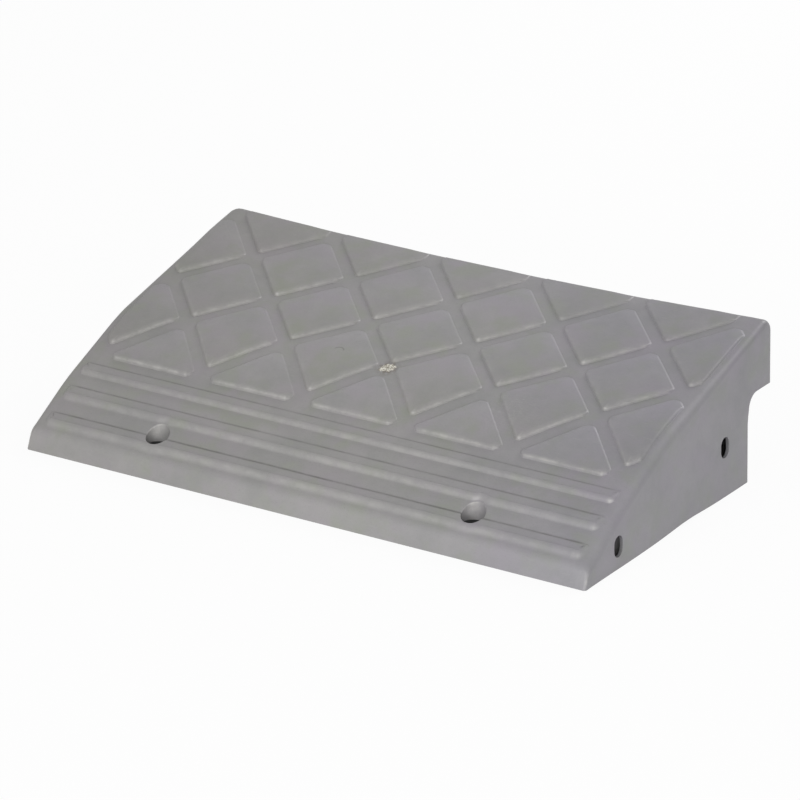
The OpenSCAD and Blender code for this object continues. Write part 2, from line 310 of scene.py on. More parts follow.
# Noises that place colours and roughness: scale, detail and roughness, the values that each
# runs from and to, and what those become
CLOUDS = {
    "grey": (14, 4, 0.55, 0.35, 0.65, 0.0, 1.0),
    "patchy": (48, 4, 0.65, 0.38, 0.62, 0.0, 1.0),
    "violet": (26, 3, 0.6, 0.46, 0.66, 0.0, 0.7),
    "olive": (31, 3, 0.6, 0.5, 0.68, 0.0, 0.8),
    "specks": (900, 2, 0.6, 0.56, 0.75, 0.0, 0.5),
    "scuffs": (3.0, 3, 0.7, 0.6, 0.78, 0.0, 0.5),
    "scratches": (3.0, 2, 0.6, 0.56, 0.7, 0.0, 1.0),
    "crease sway": (25, 2, 0.5, 0.0, 1.0, -0.0005, 0.0005),
    # How patchy the creases' painted shade is
    "crease shade": (32, 3, 0.6, 0.35, 0.6, 0.35, 1.0),
    "halo": (260, 3, 0.7, 0.4, 0.6, 0.0, 1.0),
    # How strong the painted edge highlight is from place to place
    "highlight_level": (75, 4, 0.65, 0.38, 0.62, 0.35, 1.3),
    "rough": (60, 4, 0.6, 0.3, 0.7, 0.36, 0.46),
    "stub": (700, 3, 0.6, 0.35, 0.65, 0.0, 1.0),
    "stub dirt": (420, 3, 0.7, 0.5, 0.6, 0.0, 0.85),
    "stub rough": (500, 3, 0.6, 0.3, 0.7, 0.5, 0.75),
}
# How scuffs and scratches are stretched, and how their place is turned
SCUFFS_ALONG = ((30, 400, 60), 0.6)
SCRATCHES_ALONG = ((80, 1100, 80), 0.9)
# Grain and waves of the surfaces: noise scale, detail and roughness, bump strength and depth
GRAIN = (2200, 2, 0.6, 0.12, 0.0002)
WAVES = (22, 2, 0.4, 0.10, 0.002)
STUB_GRAIN = (1500, 3, 0.6, 0.4, 0.0003)
# How much smoother the plastic is where the edge highlight is painted
HIGHLIGHT_SMOOTHER = 0.12

# Soft spots on the plastic: the middle in millimetres and the scale of the distance, each as
# x and y, the distances that it runs from and to in metres, and what those become
SPOTS = {
    "warm": (50, 70, 1.0, 1.0, 0.06, 0.24, 1.0, 0.0),
    # Painted sheen and shade: paler in the middle, darker towards the ends, paler on the toe
    "middle": (5, 150, 1.0, 0.25, 0.02, 0.15, 1.045, 1.0),
    "ends": (-25, 120, 1.0, 0.0, 0.13, 0.30, 0.0, 1.0),
    "toe": (-20, 0, 0.4, 8.0, 0.0, 0.06, 1.06, 1.0),
    # On the flat behind the second ridge
    "pale": (-190, 54, 0.07, 1.0, 0.003, 0.012, 0.035, 0.0),
    "dark": (285, 54, 0.07, 1.0, 0.003, 0.012, 0.045, 0.0),
    "scratches": (143, 140, 1.0, 1.0, 0.012, 0.040, 0.7, 0.0),
    "halo": (GATE[0], GATE[1], 0.8, 0.9, 0.005, 0.011, 0.75, 0.0),
}
# A small dark arc on the deck: its middle, radius and where it sets in, in millimetres
ARC_AT = (-57.0, 157.0)
ARC_R = 5.2
ARC_FROM = (158.0, 160.0)


def ramp(value, low, high):
    """Rises from 0 at low to 1 at high."""
    return min(max((value - low) / (high - low), 0.0), 1.0)


def turned(turn, steps):
    """The angles that divide a turn into equal steps, from 0 on."""
    return [turn * k / steps for k in range(steps + 1)]


# Outlines

def corner_arc(before, p, after, r, steps):
    """The points of an arc of radius r that rounds the corner p, or p alone where r is 0."""
    before, p, after = Vector(before), Vector(p), Vector(after)
    if r <= 0:
        return [p]
    u = (before - p).normalized()
    v = (after - p).normalized()
    half = math.acos(max(-1, min(1, u.dot(v)))) / 2
    room = min((before - p).length, (after - p).length) / 2
    r = min(r, room * math.tan(half))
    centre = p + (u + v).normalized() * (r / math.sin(half))
    start = p + u * (r / math.tan(half)) - centre
    turn = (math.pi - 2 * half) * (1 if u.y * v.x - u.x * v.y > 0 else -1)
    first = math.atan2(start.y, start.x)
    angles = [first + a for a in turned(turn, steps)]
    return [centre + r * Vector((math.cos(a), math.sin(a))) for a in angles]


def rounded(outline, radii, steps):
    """A closed outline with one radius for each corner."""
    n = len(outline)
    points = []
    for i in range(n):
        points += corner_arc(outline[i - 1], outline[i], outline[(i + 1) % n], radii[i], steps)
    return points


def resampled(points, spacing):
    """The same closed outline with its long sides cut into steps no longer than spacing."""
    out = []
    for a, b in zip(points, points[1:] + points[:1]):
        pieces = max(1, math.ceil((b - a).length / spacing))
        out += [a.lerp(b, k / pieces) for k in range(pieces)]
    return out


def clipped(outline, direction, limit):
    """The part of a closed outline where direction . p is at most limit."""
    direction = Vector(direction)
    out = []
    for p, q in zip(outline, outline[1:] + outline[:1]):
        over_p = direction.dot(p) - limit
        over_q = direction.dot(q) - limit
        if over_p <= 0:
            out.append(p)
        if over_p * over_q < 0:
            out.append(p + (q - p) * (over_p / (over_p - over_q)))
    return out


def outward_normals(outline):
    """Where each point of a counter-clockwise outline faces."""
    n = len(outline)
    normals = []
    for i in range(n):
        run = (outline[(i + 1) % n] - outline[i]).normalized()
        run += (outline[i] - outline[i - 1]).normalized()
        run.normalize()
        normals.append(Vector((run.y, -run.x)))
    return normals


# The deck's surface

def profile_line():
    """The deck's profile from the toe's foot over the top to the rear face's foot."""
    points = [Vector(CORNERS[0])]
    for i, r in enumerate(BEND_RADII, start=1):
        points += corner_arc(CORNERS[i - 1], CORNERS[i], CORNERS[i + 1], r, BEND_STEPS)
    points.append(Vector(CORNERS[-1]))
    return points


PROFILE = profile_line()
PROFILE_TOP = PROFILE[:-1]


def deck_z(y):
    """Height of the deck before it sank, at a distance from the toe."""
    y = min(max(y, 0.0), DEPTH)
    for a, b in zip(PROFILE_TOP, PROFILE_TOP[1:]):
        if a.x <= y <= b.x and b.x > a.x:
            return a.y + (b.y - a.y) * (y - a.x) / (b.x - a.x)
    return PROFILE_TOP[-1].y


def sag(x, y):
    """How far the deck has sunk at a place."""
    across = abs(2 * x / LENGTH + SAG_OFF_MIDDLE) ** SAG_BEND_ACROSS
    along = (1 - ramp(y, *SAG_SPAN)) ** SAG_BEND_ALONG
    return max(SAG * (1 - across) - SAG_LIFT, 0.0) * (1 - along)


def surface_z(x, y):
    return deck_z(y) - sag(x, y)


def sink(vertex):
    """Moves a point of the shell or its ribs down with the deck above it."""
    x, y, z = vertex.co / MM
    y += DEPTH / 2
    share = ramp(z, 0.0, max(deck_z(y), 1.0))
    vertex.co.z = (z - sag(x, y) * share) * MM


# Mesh helpers

def to_frame(x, y, z):
    """A place in the shared frame, in metres."""
    return (x * MM, (y - DEPTH / 2) * MM, z * MM)


def set_mark(mesh, name, values):
    """Gives the mesh's points a named value, such as how worn they are, for the material."""
    mesh.attributes.new(name, "FLOAT", "POINT").data.foreach_set("value", values)


def new_piece(name, points, faces, marks=None):
    """An object from points in millimetres, with its marks."""
    mesh = bpy.data.meshes.new(name)
    mesh.from_pydata([to_frame(*p) for p in points], [], faces)
    for mark, values in (marks or {}).items():
        set_mark(mesh, mark, values)
    mesh.validate()
    obj = bpy.data.objects.new(name, mesh)
    bpy.context.collection.objects.link(obj)
    clean(obj)
    return obj


def clean(obj):
    """Joins points that coincide, drops faces without area and turns all normals outwards."""
    bm = bmesh.new()
    bm.from_mesh(obj.data)
    bmesh.ops.remove_doubles(bm, verts=bm.verts, dist=1e-7)
    bmesh.ops.dissolve_degenerate(bm, edges=bm.edges, dist=1e-7)
    bmesh.ops.recalc_face_normals(bm, faces=bm.faces)
    bm.to_mesh(obj.data)
    bm.free()


def cut(obj, cutter):
    """Takes the cutter's shape out of the object, and removes the cutter."""
    step = obj.modifiers.new("cut", "BOOLEAN")
    step.operation = "DIFFERENCE"
    step.solver = "EXACT"
    step.object = cutter
    graph = bpy.context.evaluated_depsgraph_get()
    mesh = bpy.data.meshes.new_from_object(obj.evaluated_get(graph))
    old = obj.data, cutter.data
    obj.modifiers.clear()
    obj.data = mesh
    bpy.data.objects.remove(cutter)
    for data in old:
        bpy.data.meshes.remove(data)


def shade(obj, angle):
    """Smooth shading, with edges sharp from an angle in degrees."""
    obj.data.shade_smooth()
    obj.data.set_sharp_from_angle(angle=math.radians(angle))


def lid(first, n):
    """A face on a ring of n points, given by its first."""
    return tuple(range(first, first + n))


def band(a, b, n):
    """Faces between two rings of n points, given by their first points."""
    return [(a + i, a + (i + 1) % n, b + (i + 1) % n, b + i) for i in range(n)]


def bands(count, n):
    """Faces between a number of rings of n points that follow each other."""
    faces = []
    for ring in range(count - 1):
        faces += band(ring * n, (ring + 1) * n, n)
    return faces


def prism_x(name, outline, x0, x1, lean=(0.0, 0.0)):
    """A (y, z) outline stretched along the ramp, moved by lean where it starts."""
    n = len(outline)
    points = [(x0, p[0] + lean[0], p[1] + lean[1]) for p in outline]
    points += [(x1, p[0], p[1]) for p in outline]
    return new_piece(name, points, [lid(0, n)[::-1], lid(n, n)] + bands(2, n))


def anchor_hole(name, side):
    """What cuts the round hole of an anchor socket."""
    x, r, n = side * ANCHOR_X, MOUTH_R + RIM_R, HOLE_STEPS
    ring = [(x + r * math.cos(a), MOUTH_Y + r * math.sin(a)) for a in turned(2 * math.pi, n)[:-1]]
    points = [(px, py, z) for z in (-PAST, HOLE_TOP) for px, py in ring]
    return new_piece(name, points, [lid(0, n)[::-1], lid(n, n)] + bands(2, n))


# The shell

def end_radii(y, inset):
    """Radii of the left and the right end's rounding at a distance from the toe."""
    radii = []
    for side in (0, 1):
        r = TOE_CORNER_R[side]
        r += (DECK_EDGE_R[side] - r) * ramp(y, *TOE_TO_DECK)
        r += (TOP_EDGE_R[side] - r) * ramp(y, *DECK_TO_TOP)
        r += (REAR_CORNER_R[side] - r) * ramp(y, *TOP_TO_REAR)
        if side == 0 and inset == 0:
            r += REAR_LEFT_MORE * ramp(y, *TOP_TO_REAR_LEFT)
        radii.append(max(r - inset, LEAST_END_R))
    return radii


def profile_points(inset, floor_z):
    """Points round the wedge's section, with their outward normals and end roundings."""
    spaced = []
    for a, b in zip(PROFILE, PROFILE[1:]):
        pieces = max(1, math.ceil((b - a).length / SECTION_STEP))
        spaced += [(a.lerp(b, k / pieces), b - a) for k in range(pieces)]
    spaced.append((PROFILE[-1], PROFILE[-1] - PROFILE[-2]))
    rows = []
    for i, (p, run) in enumerate(spaced):
        before = spaced[max(i - 1, 0)][1].normalized()
        run = (before + run.normalized()).normalized()
        normal = Vector((-run.y, run.x))
        rows.append((p - normal * inset, normal, end_radii(p.x, inset)))
    first, normal, radii = rows[0]
    rows[0] = (to_floor(first, floor_z), normal, radii)
    last, normal, radii = rows[-1]
    rows[-1] = (Vector((last.x, floor_z)), normal, radii)
    return rows


def to_floor(p, floor_z):
    """A point moved along the toe's face to the floor."""
    along = (PROFILE[1] - PROFILE[0]).normalized()
    return p + along * ((floor_z - p.y) / along.y)


def loft(name, inset, floor_z):
    """The closed wedge with rounded ends that lean inwards, set in by a distance."""
    rows = profile_points(inset, floor_z)
    half_turn = turned(math.pi / 2, END_STEPS)[1:]
    stations = [(-1, a) for a in half_turn[::-1]]
    stations += [(s / HALF_STATIONS, 0.0) for s in range(-HALF_STATIONS, HALF_STATIONS + 1)]
    stations += [(1, a) for a in half_turn]
    n = len(rows)
    points = []
    for share, angle in stations:
        for i, (p, normal, radii) in enumerate(rows):
            r = radii[0] if share < 0 else radii[1]
            q = p - normal * (r * (1 - math.cos(angle)))
            if i == 0:
                q = to_floor(q, floor_z)
            if i == n - 1:
                q = Vector((q.x, floor_z))
            end = LENGTH / 2 - inset / math.cos(SIDE_DRAFT) - q.y * math.tan(SIDE_DRAFT)
            x = share * (end - r) + math.copysign(r * math.sin(angle), share)
            points.append((x, q.x, q.y))
    caps = [lid(0, n), lid(len(points) - n, n)[::-1]]
    return new_piece(name, points, caps + bands(len(stations), n))


def foot_corner(side):
    """What rounds off the upright corner of an end wall and the back wall."""
    outside = 2.0
    n = FOOT_CORNER_STEPS + 3
    points = []
    for z, share in FOOT_CORNER_FADE:
        r = FOOT_CORNER_R * share
        end = LENGTH / 2 - z * math.tan(SIDE_DRAFT)
        ring = [(end + outside, BASE_DEPTH + outside), (end + outside, BASE_DEPTH - r)]
        ring += [(end - r + r * math.cos(a), BASE_DEPTH - r + r * math.sin(a))
                 for a in turned(math.pi / 2, FOOT_CORNER_STEPS)]
        points += [(side * x, y, z) for x, y in ring]
    caps = [lid(0, n), lid(len(points) - n, n)[::-1]]
    return new_piece("foot corner", points, caps + bands(len(FOOT_CORNER_FADE), n))


def slot_outline(y, z):
    reach = (SLOT_H - SLOT_W) / 2
    upper = [(y + SLOT_W / 2 * math.cos(a), z + reach + SLOT_W / 2 * math.sin(a))
             for a in turned(math.pi, SLOT_STEPS)]
    lower = [(2 * y - a, 2 * z - b) for a, b in upper]
    return upper + lower


def wave_z(y):
    """Height of the right end wall's lower edge."""
    hump = HUMP_H * math.exp(-((y - HUMP_Y) / HUMP_WIDTH) ** 2)
    return WAVE_LIFT + hump + RIPPLE_H * math.sin(y / RIPPLE_RUN)


def toe_glint(place, normal):
    """Painted glints: the upright corners at the toe's ends are painted pale where they face the
    glints' way.
    """
    across = math.copysign(TOE_GLINT_WAY[0], place.x)
    facing = max(normal.x * across + normal.y * TOE_GLINT_WAY[1], 0.0)
    ends = ramp(abs(place.x), *TOE_GLINT_X)
    return TOE_GLINT * facing ** 8 * ends * (1 - ramp(place.y + DEPTH / 2, *TOE_GLINT_Y))


def build_shell():
    shell = loft("shell", 0.0, 0.0)
    cavity = loft("cavity", WALL, CAVITY_FLOOR)
    slab = [(BASE_DEPTH - WALL, -PAST), (BASE_DEPTH, -PAST), (BASE_DEPTH, SLAB_TOP),
            (BASE_DEPTH - WALL, SLAB_TOP)]
    cut(cavity, prism_x("slab", slab, -LENGTH, LENGTH))
    cut(shell, cavity)
    notch = [(BASE_DEPTH, -PAST), (BASE_DEPTH, KERB_HEIGHT), (DEPTH + PAST, KERB_HEIGHT),
             (DEPTH + PAST, -PAST)]
    notch = rounded(notch, [0, NOTCH_R, 0, 0], NOTCH_STEPS)
    cut(shell, prism_x("notch", notch, -LENGTH, LENGTH))
    for side in (-1, 1):
        cut(shell, foot_corner(side))
    start, stop = WAVE_SPAN
    wave = [(start, -PAST), (stop, -PAST), (stop, WAVE_FLAT)]
    wave += [(y, wave_z(y)) for y in WAVE_YS] + [(start, WAVE_FLAT)]
    cut(shell, prism_x("wave", wave, LENGTH / 2 - WAVE_IN, LENGTH / 2 + PAST))
    for y, z in SLOTS:
        for side in (-1, 1):
            ends = sorted((side * (LENGTH / 2 - SLOT_IN), side * (LENGTH / 2 + PAST)))
            cut(shell, prism_x("slot", slot_outline(y, z), *ends))
    for y, tilt in zip(RIDGE_BACK, RIDGE_TILT):
        z = deck_z(y)
        crease = [(y + along, z + up) for along, up in CREASE]
        end = PATTERN_X - CREASE_IN
        cut(shell, prism_x("crease", crease, -end, end, (tilt, deck_z(y + tilt) - z)))
    for side in (-1, 1):
        cut(shell, anchor_hole("hole", side))
    for vertex in shell.data.vertices:
        sink(vertex)
    clean(shell)
    shade(shell, SHELL_SHARP)
    # Painted glints on the toe's upright corners
    set_mark(shell.data, "painted_highlight", [toe_glint(v.co / MM, v.normal) for v in shell.data.vertices])
    return shell


# Raised pieces: tread pads and grip ridges

def painted_glint(out):
    """Painted highlight: edges are painted pale where they face the glints' way, most at their
    front corners.
    """
    facing = max(GLINT_WAY[0] * out.x + GLINT_WAY[1] * out.y, 0.0)
    return GLINT_SHARES[0] * facing ** 2 + GLINT_SHARES[1] * facing ** 12


def raised_piece(name, outline, height, edge_r, foot_r, spine, softness, painted_highlight, edge_highlight,
                 painted_sheen):
    """A pad or ridge that stands on the deck. The outline is counter-clockwise and runs where
    the foot's hollow turns into the edge's rounding. Its shape comes from height(x, y) above
    the deck, spine(x, y), where the top's rings shrink to, and softness(out), which scales
    the radii of its edge and foot. It carries painted light as marks: a painted highlight from
    a function of (p, out), spread over the edge by a list from foot to top, and a painted sheen
    from a function of (x, y)."""
    normals = outward_normals(outline)
    n = len(outline)
    parts = [k / ARC_STEPS for k in range(ARC_STEPS + 1)]
    steps = [("skirt", 1.0)] + [("foot", k) for k in parts] + [("edge", k) for k in parts]
    points, highlit = [], []
    for kind, k in steps:
        for p, out in zip(outline, normals):
            h = max(height(p.x, p.y), LEAST_RISE)
            soft = softness(out)
            foot, edge = foot_r * soft, edge_r * soft
            lean = math.acos(1 - min(h / (foot + edge), MOST_BEND))
            rise = h - (foot + edge) * (1 - math.cos(lean))
            slant = rise / math.tan(lean) / 2
            if kind == "skirt":
                shift, z = foot * math.sin(lean) + slant - SKIRT_IN, -SKIRT_DEPTH
            elif kind == "foot":
                a = lean * k
                shift = foot * (math.sin(lean) - math.sin(a)) + slant
                z = foot * (1 - math.cos(a))
            else:
                a = lean * (1 - k)
                shift = -edge * (math.sin(lean) - math.sin(a)) - slant
                z = h - edge * (1 - math.cos(a))
            q = p + out * shift
            points.append((q.x, q.y, surface_z(q.x, q.y) + z))
            spread = {"skirt": 0.0, "foot": k * edge_highlight[0],
                      "edge": edge_highlight[round(k * ARC_STEPS)]}
            highlit.append(painted_highlight(p, out) * spread[kind])
    rim = [Vector(point[:2]) for point in points[-n:]]
    rim_highlit = highlit[-n:]
    for ring in range(1, FILL_RINGS + 1):
        for q, highlight_level in zip(rim, rim_highlit):
            s = q.lerp(Vector(spine(q.x, q.y)), ring / FILL_RINGS)
            points.append((s.x, s.y, surface_z(s.x, s.y) + height(s.x, s.y)))
            highlit.append(highlight_level * max(1 - (s - q).length / HIGHLIGHT_REACH, 0.0))
    faces = [lid(0, n)[::-1]] + bands(len(steps) + FILL_RINGS, n)
    marks = {"painted_highlight": highlit, "painted_sheen": [painted_sheen(x, y) for x, y, z in points]}
    piece = new_piece(name, points, faces, marks)
    shade(piece, RAISED_SHARP)
    return piece


def pads_in(row):
    return PAD_COLUMNS if row % 2 == 1 else PAD_COLUMNS + 1


def pad_centre(row, column):
    return ((column - (pads_in(row) + 1) / 2) * PAD_PITCH, FRONT_ROW + (row - 1) * ROW_PITCH)


def pad_height(x, y):
    fade = ramp(y, *PAD_FADE)
    return min(PAD_H * (1 - fade * fade * (3 - 2 * fade)), PAD_TOP - surface_z(x, y))


def toward(out, x, y):
    """How much a side faces the way of x and y, each -1 or 1."""
    return ramp(x * out.x, 0.0, 0.6) * ramp(y * out.y, 0.0, 0.6)


def pad_outline(row, column):
    x, y = pad_centre(row, column)
    outline = [(x, y - PAD_HALF_Y), (x + PAD_HALF_X, y), (x, y + PAD_HALF_Y), (x - PAD_HALF_X, y)]
    if row == PAD_ROWS:
        outline[2:3] = [(x + PAD_HALF_X, PAD_END), (x - PAD_HALF_X, PAD_END)]
    outline = [Vector(p) for p in outline]
    front_right = Vector((PAD_HALF_Y, -PAD_HALF_X)).normalized()
    outline = clipped(outline, front_right, front_right.dot(outline[1]) - EDGE_BACK[row])
    outline = clipped(outline, (-1, 0), PATTERN_X)
    outline = clipped(outline, (1, 0), PATTERN_X)
    outline = clipped(outline, (0, -1), -(FRONT_ROW - FRONT_ROW_CUT))
    radii = [PAD_END_CORNER_R if p.y > PAD_END - 0.01 else PAD_CORNER_R for p in outline]
    outline = resampled(rounded(outline, radii, ROUND_STEPS), PAD_SPACING)
    for p, out in zip(outline, outward_normals(outline)):
        p += out * sum(far * toward(out, *way) for way, far in EDGE_OUT.items())
    return outline


def build_pad(row, column):
    x, y = pad_centre(row, column)
    outline = pad_outline(row, column)
    middle = sum(outline, Vector((0, 0))) / len(outline)

    def shares(px, py):
        return (px - x) / PAD_HALF_X, (py - y) / PAD_HALF_Y

    def height(px, py):
        across, along = shares(px, py)
        lower = PAD_LOWER * ramp(across + along, *PAD_LOWER_FROM) ** 2
        return pad_height(px, py) * (1 - lower)

    def softness(out):
        side = SIDE_SOFTER * abs(out.x) * (1 - toward(out, 1, -1))
        return 1.0 + REAR_RIGHT_SOFTER * toward(out, 1, 1) + side

    # Painted highlight on edges facing the glints' way, weaker on the rear row, with painted
    # light on the left edges to lift their shade
    def painted_highlight(p, out):
        highlight_level = painted_glint(out) * (LAST_ROW_HIGHLIGHT if row == PAD_ROWS else 1.0)
        rear, front = LEFT_PAINTED_LIGHT
        return highlight_level + rear * toward(out, -1, 1) + front * toward(out, -1, -1)

    # Painted sheen: paler towards the pad's rear left, darker towards its front right
    def painted_sheen(px, py):
        across, along = shares(px, py)
        return min(max(0.7 * (along - across) + 0.35 * (along + across), -1.0), 1.0)

    pad = raised_piece("pad_%d_%d" % (row, column), outline, height, PAD_EDGE_R, PAD_FOOT_R,
                       lambda px, py: middle, softness, painted_highlight, PAD_HIGHLIGHT, painted_sheen)
    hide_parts("tread_pad_%d_%d" % (row, column))
    return pad


def ridge_span(i, x):
    """Where a ridge's front edge and its crease lie at a place along the ramp."""
    shift = RIDGE_TILT[i] * (0.5 - x / LENGTH)
    return RIDGE_FRONT[i] + shift, RIDGE_BACK[i] + shift


def ridge_share(i, x, y):
    """How far a place lies from a ridge's front edge, 0, to its crease, 1."""
    front, back = ridge_span(i, x)
    return (y - front) / (back - front)


def ridge_rise(share):
    return RIDGE_FRONT_H + (RIDGE_REAR_H - RIDGE_FRONT_H) * share


def ridge_outline(i):
    (y0, y1), (y2, y3) = ridge_span(i, -PATTERN_X), ridge_span(i, PATTERN_X)
    plan = [(-PATTERN_X, y0), (PATTERN_X, y2), (PATTERN_X, y3), (-PATTERN_X, y1)]
    radii = [RIDGE_CORNER_R] * 2 + [RIDGE_REAR_CORNER_R] * 2
    outline = rounded([Vector(p) for p in plan], radii, ROUND_STEPS)
    outline = resampled(outline, RIDGE_SPACING)
    for p in outline:
        away = abs(abs(p.x) - ANCHOR_X)
        if ridge_share(i, p.x, p.y) > FRONT_SHARE:
            continue
        if i == 0:
            p.y -= BULGE * math.exp(-(away / BULGE_WIDTH) ** 2)
        if i == 1:
            p.y = max(p.y, MOUTH_Y + math.sqrt(max(SOCKET_CLEAR_R ** 2 - away ** 2, 0.0)))
    return outline


def build_ridge(i):
    end = PATTERN_X - RIDGE_SPINE_IN

    def height(x, y):
        return ridge_rise(ramp(ridge_share(i, x, y), 0.0, 1.0))

    def spine(x, y):
        at = min(max(x, -end), end)
        return (at, sum(ridge_span(i, at)) / 2)

    def softness(out):
        return 1.0 - RIDGE_REAR_SHARPER * ramp(out.y, 0.5, 0.9)

    # Painted highlight along the ridge's front edge, with a painted glint at its right end
    def painted_highlight(p, out):
        highlight_level = RIDGE_RIGHT_GLINT
        if p.x < PATTERN_X - RIDGE_RIGHT_END:
            highlight_level = RIDGE_MIDDLE_HIGHLIGHT - RIDGE_END_LESS * (2 * p.x / LENGTH) ** 2
        return highlight_level * painted_glint(out)

    ridge = raised_piece("ridge_%d" % (i + 1), ridge_outline(i), height, RIDGE_EDGE_R[i],
                         RIDGE_FOOT_R[i], spine, softness, painted_highlight, RIDGE_HIGHLIGHT, lambda x, y: 0.0)
    if i == 0:
        for side in (-1, 1):
            cut(ridge, anchor_hole("mouth", side))
        clean(ridge)
        shade(ridge, RAISED_SHARP)
    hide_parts("grip_ridge_%d" % (i + 1))
    return ridge


# Sockets, gate mark and ribs

def top_z(x, y):
    """The deck's surface with the first ridge on it."""
    share = ridge_share(0, x, y)
    return surface_z(x, y) + (ridge_rise(share) if 0 <= share <= 1 else 0.0)


def socket_rings():
    """A socket's rings, as (radius, what its height starts from, height above that)."""
    outer = MOUTH_R + SOCKET_WALL
    tube = BOLT_R + SOCKET_WALL
    rings = [(outer, "deck", -SOCKET_DOWN), (MOUTH_R + RIM_R, "deck", -SOCKET_DOWN)]
    rings += [(MOUTH_R + RIM_R * (1 - math.sin(a)), "top", -RIM_R * (1 - math.cos(a)))
              for a in turned(math.pi / 2, RIM_STEPS)]
    foot = SOCKET_FOOT_R
    rings += [(MOUTH_R, "floor", foot), (MOUTH_R - foot * 0.3, "floor", foot * 0.3),
              (MOUTH_R - foot, "floor", 0.0), (BOLT_R + BOLT_EDGE, "floor", 0.0),
              (BOLT_R, "floor", -BOLT_EDGE), (BOLT_R, "ground", 0.0), (tube, "ground", 0.0),
              (tube, "floor", -SOCKET_WALL), (outer, "floor", -SOCKET_WALL)]
    return rings


def build_socket(side):
    levels = {"deck": surface_z, "top": top_z, "floor": lambda x, y: SOCKET_FLOOR,
              "ground": lambda x, y: 0.0}
    steps = SOCKET_STEPS
    rings = socket_rings()
    points, hole_shade, highlit = [], [], []
    for r, level, z in rings:
        mouth = r > BOLT_R + BOLT_EDGE and level != "ground"
        for a in turned(2 * math.pi, steps)[:-1]:
            x = side * ANCHOR_X + r * math.cos(a)
            y = (MOUTH_Y if mouth else ANCHOR_Y) + r * math.sin(a)
            points.append((x, y, levels[level](x, y) + z))
            # Painted shade: the socket's floor ring and bolt hole are painted near black
            hole_shade.append(1 - ramp(r, MOUTH_R - 0.7, MOUTH_R))
            # Painted highlight on the rim and floor, strongest towards the rear left
            lit = max(0.8 * math.sin(a) - 0.6 * math.cos(a), 0.0) ** 4
            highlit.append(lit * SOCKET_HIGHLIGHT.get(level, 0.0))
    faces = bands(len(rings), steps) + band((len(rings) - 1) * steps, 0, steps)
    name = "left" if side < 0 else "right"
    socket = new_piece("socket_" + name, points, faces, {"hole_shade": hole_shade, "painted_highlight": highlit})
    shade(socket, SOCKET_SHARP)
    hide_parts("anchor_socket_" + name)
    return socket


def build_gate_mark():
    """The rough, crumbled stub left where the moulding was filled."""
    points = []
    for r, z in STUB_RINGS:
        for a in turned(2 * math.pi, STUB_STEPS)[:-1]:
            wobble = noise.noise(Vector((math.cos(a) * 2.2, math.sin(a) * 2.2, 3.1)))
            waist = 1 - 0.28 * math.exp(-(math.cos(a) / 0.35) ** 2)
            reach = r * (1 + 0.4 * wobble) * waist
            x = 1.6 * reach * math.cos(a)
            y = 1.45 * reach * math.sin(a) + 0.25 * x
            crumbs = noise.noise(Vector((0.9 * x, 0.9 * y, 0.7)))
            crumbs += 0.6 * noise.noise(Vector((2.1 * x, 2.1 * y, 4.2)))
            lift = max(z + 1.3 * crumbs, LEAST_RISE) if z > 0 else z
            x, y = x + GATE[0], y + GATE[1]
            points.append((x, y, surface_z(x, y) + lift))
    faces = [lid(0, STUB_STEPS)[::-1]] + bands(len(STUB_RINGS), STUB_STEPS)
    mark = new_piece("gate_stub", points, faces)
    shade(mark, STUB_SHARP)
    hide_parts("gate_mark")
    return mark


def sunk_copy(node):
    """A rib or web whose top follows the sunken deck: a copy of the node, cut into short
    stretches and lowered."""
    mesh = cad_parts[node].data.copy()
    bm = bmesh.new()
    bm.from_mesh(mesh)
    bmesh.ops.remove_doubles(bm, verts=bm.verts, dist=1e-6)
    low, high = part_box(node)
    for axis, way in ((0, (1.0, 0.0, 0.0)), (1, (0.0, 1.0, 0.0))):
        reach = high[axis] - low[axis]
        cuts = int(reach / RIB_STEP)
        for k in range(1, cuts):
            at = [0.0, 0.0, 0.0]
            at[axis] = low[axis] + reach * k / cuts
            geometry = bm.verts[:] + bm.edges[:] + bm.faces[:]
            bmesh.ops.bisect_plane(bm, geom=geometry, plane_co=at, plane_no=way, dist=1e-6)
    for vertex in bm.verts:
        sink(vertex)
    bm.to_mesh(mesh)
    bm.free()
    piece = bpy.data.objects.new("sunk_" + node, mesh)
    bpy.context.collection.objects.link(piece)
    shade(piece, RIB_SHARP)
    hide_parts(node)
    return piece


# Materials

def srgb(colour):
    """A colour in linear light from its screen values, none of them below 11."""
    return tuple(((v / 255 + 0.055) / 1.055) ** 2.4 for v in colour) + (1.0,)


